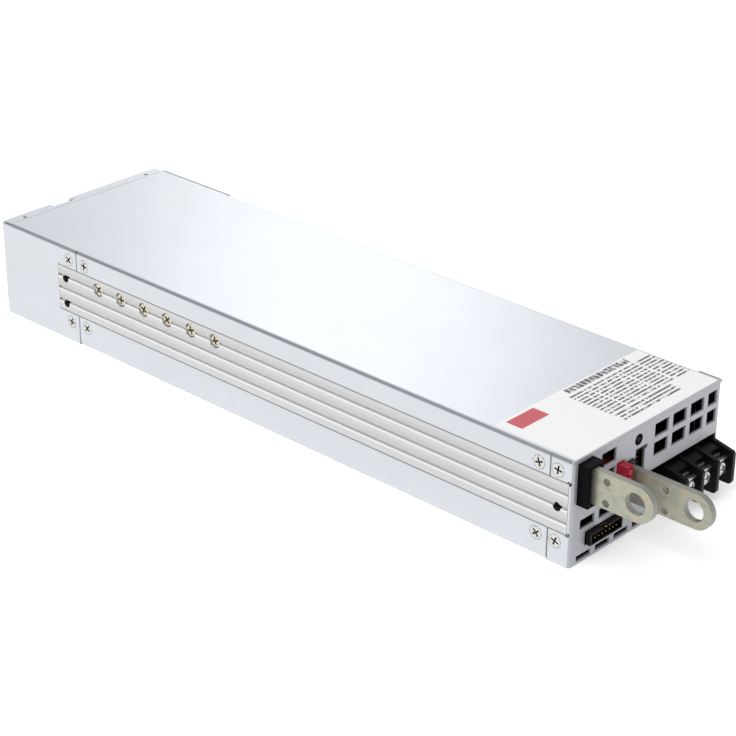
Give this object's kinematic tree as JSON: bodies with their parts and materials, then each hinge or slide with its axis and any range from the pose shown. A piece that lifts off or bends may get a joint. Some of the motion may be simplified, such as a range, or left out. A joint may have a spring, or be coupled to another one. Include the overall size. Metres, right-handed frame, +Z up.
{
  "type": "battery charger",
  "caption": "Slim rack battery charger in a folded steel case with a side heat sink, flat busbar outputs, a barrier terminal block, a switch bank and rear fans.",
  "frame": {"origin": "centre of the case's underside", "axes": "+X to the right of the terminal face, +Y to the fan end, +Z up; the terminals face -Y"},
  "size_m": [0.085, 0.3357, 0.0411],
  "materials": {
    "zinc_plated_steel": "bright zinc, soft sheen",
    "extruded_aluminium": "extruded, satin",
    "silicone_pad": "smooth",
    "transistor_epoxy": "moulded",
    "nickel_plated_steel": "nickel plate",
    "brass_post": "turned",
    "circuit_board": "solder mask",
    "tinned_copper": "tin plate, satin",
    "black_nylon": "moulded, slight sheen",
    "red_plastic": "moulded",
    "red_lever": "moulded",
    "gold_pins": "gold flash",
    "green_lens": "clear dome",
    "ferrite": "sintered",
    "copper_winding": "enamelled wire",
    "capacitor_sleeve": "shrink sleeve",
    "film_case": "moulded",
    "fuse_glass": "clear with metal caps",
    "label_film": "matt white"
  },
  "bodies": {
    "case": {"base_tray": "zinc_plated_steel", "top_cover": "zinc_plated_steel", "front_panel": "zinc_plated_steel", "rear_panel": "zinc_plated_steel", "heat_sink": "extruded_aluminium", "thermal_pad": "silicone_pad", "power_transistors": "transistor_epoxy", "heat_sink_screws": "nickel_plated_steel", "main_board": "circuit_board", "board_standoffs": "brass_post", "board_screws": "nickel_plated_steel", "control_board": "circuit_board", "bus_bar_positive": "tinned_copper", "bus_bar_negative": "tinned_copper", "bus_bar_insulator": "black_nylon", "bus_bar_collar": "black_nylon", "dip_switch_body": "red_plastic", "header_housing": "black_nylon", "header_pins": "gold_pins", "signal_socket": "black_nylon", "socket_pins": "gold_pins", "status_light": "green_lens", "ac_terminal_block": "black_nylon", "ac_contacts": "tinned_copper", "fan_screws": "nickel_plated_steel", "case_screws": "nickel_plated_steel", "transformer_core": "ferrite", "transformer_winding": "copper_winding", "pfc_choke": "copper_winding", "filter_choke": "copper_winding", "bulk_capacitors": "capacitor_sleeve", "output_capacitors": "capacitor_sleeve", "bridge_rectifier": "transistor_epoxy", "inrush_relay": "black_nylon", "film_capacitor": "film_case", "input_fuse": "fuse_glass", "fuse_clips": "brass_post", "rating_label": "label_film", "fan_frame_left": "black_nylon", "fan_frame_right": "black_nylon"},
    "rotor_left": {"fan_rotor_left": "black_nylon"},
    "rotor_right": {"fan_rotor_right": "black_nylon"},
    "lever_1": {"dip_lever_1": "red_lever"},
    "lever_2": {"dip_lever_2": "red_lever"},
    "lever_3": {"dip_lever_3": "red_lever"},
    "lever_4": {"dip_lever_4": "red_lever"},
    "terminal_1": {"ac_clamp_plate_1": "nickel_plated_steel", "ac_terminal_screw_1": "nickel_plated_steel"},
    "terminal_2": {"ac_clamp_plate_2": "nickel_plated_steel", "ac_terminal_screw_2": "nickel_plated_steel"},
    "terminal_3": {"ac_clamp_plate_3": "nickel_plated_steel", "ac_terminal_screw_3": "nickel_plated_steel"}
  },
  "joints": [
    {"name": "fan_spin_left", "type": "hinge", "parent": "case", "child": "rotor_left", "pos_m": [-0.0202, 0.135, 0.0205], "axis": [0, 1, 0], "continuous": true},
    {"name": "fan_spin_right", "type": "hinge", "parent": "case", "child": "rotor_right", "pos_m": [0.0202, 0.135, 0.0205], "axis": [0, 1, 0], "continuous": true},
    {"name": "dip_lever_1_flip", "type": "hinge", "parent": "case", "child": "lever_1", "pos_m": [-0.0161, -0.1506, 0.02119], "axis": [0, 0, 1], "range_deg": [0, 16]},
    {"name": "dip_lever_2_flip", "type": "hinge", "parent": "case", "child": "lever_2", "pos_m": [-0.0161, -0.1506, 0.02373], "axis": [0, 0, 1], "range_deg": [0, 16]},
    {"name": "dip_lever_3_flip", "type": "hinge", "parent": "case", "child": "lever_3", "pos_m": [-0.0161, -0.1506, 0.02627], "axis": [0, 0, 1], "range_deg": [0, 16]},
    {"name": "dip_lever_4_flip", "type": "hinge", "parent": "case", "child": "lever_4", "pos_m": [-0.0161, -0.1506, 0.02881], "axis": [0, 0, 1], "range_deg": [0, 16]},
    {"name": "ac_terminal_1_tighten", "type": "slide", "parent": "case", "child": "terminal_1", "axis": [0, 1, 0], "range_m": [0, 0.0015]},
    {"name": "ac_terminal_2_tighten", "type": "slide", "parent": "case", "child": "terminal_2", "axis": [0, 1, 0], "range_m": [0, 0.0015]},
    {"name": "ac_terminal_3_tighten", "type": "slide", "parent": "case", "child": "terminal_3", "axis": [0, 1, 0], "range_m": [0, 0.0015]}
  ]
}
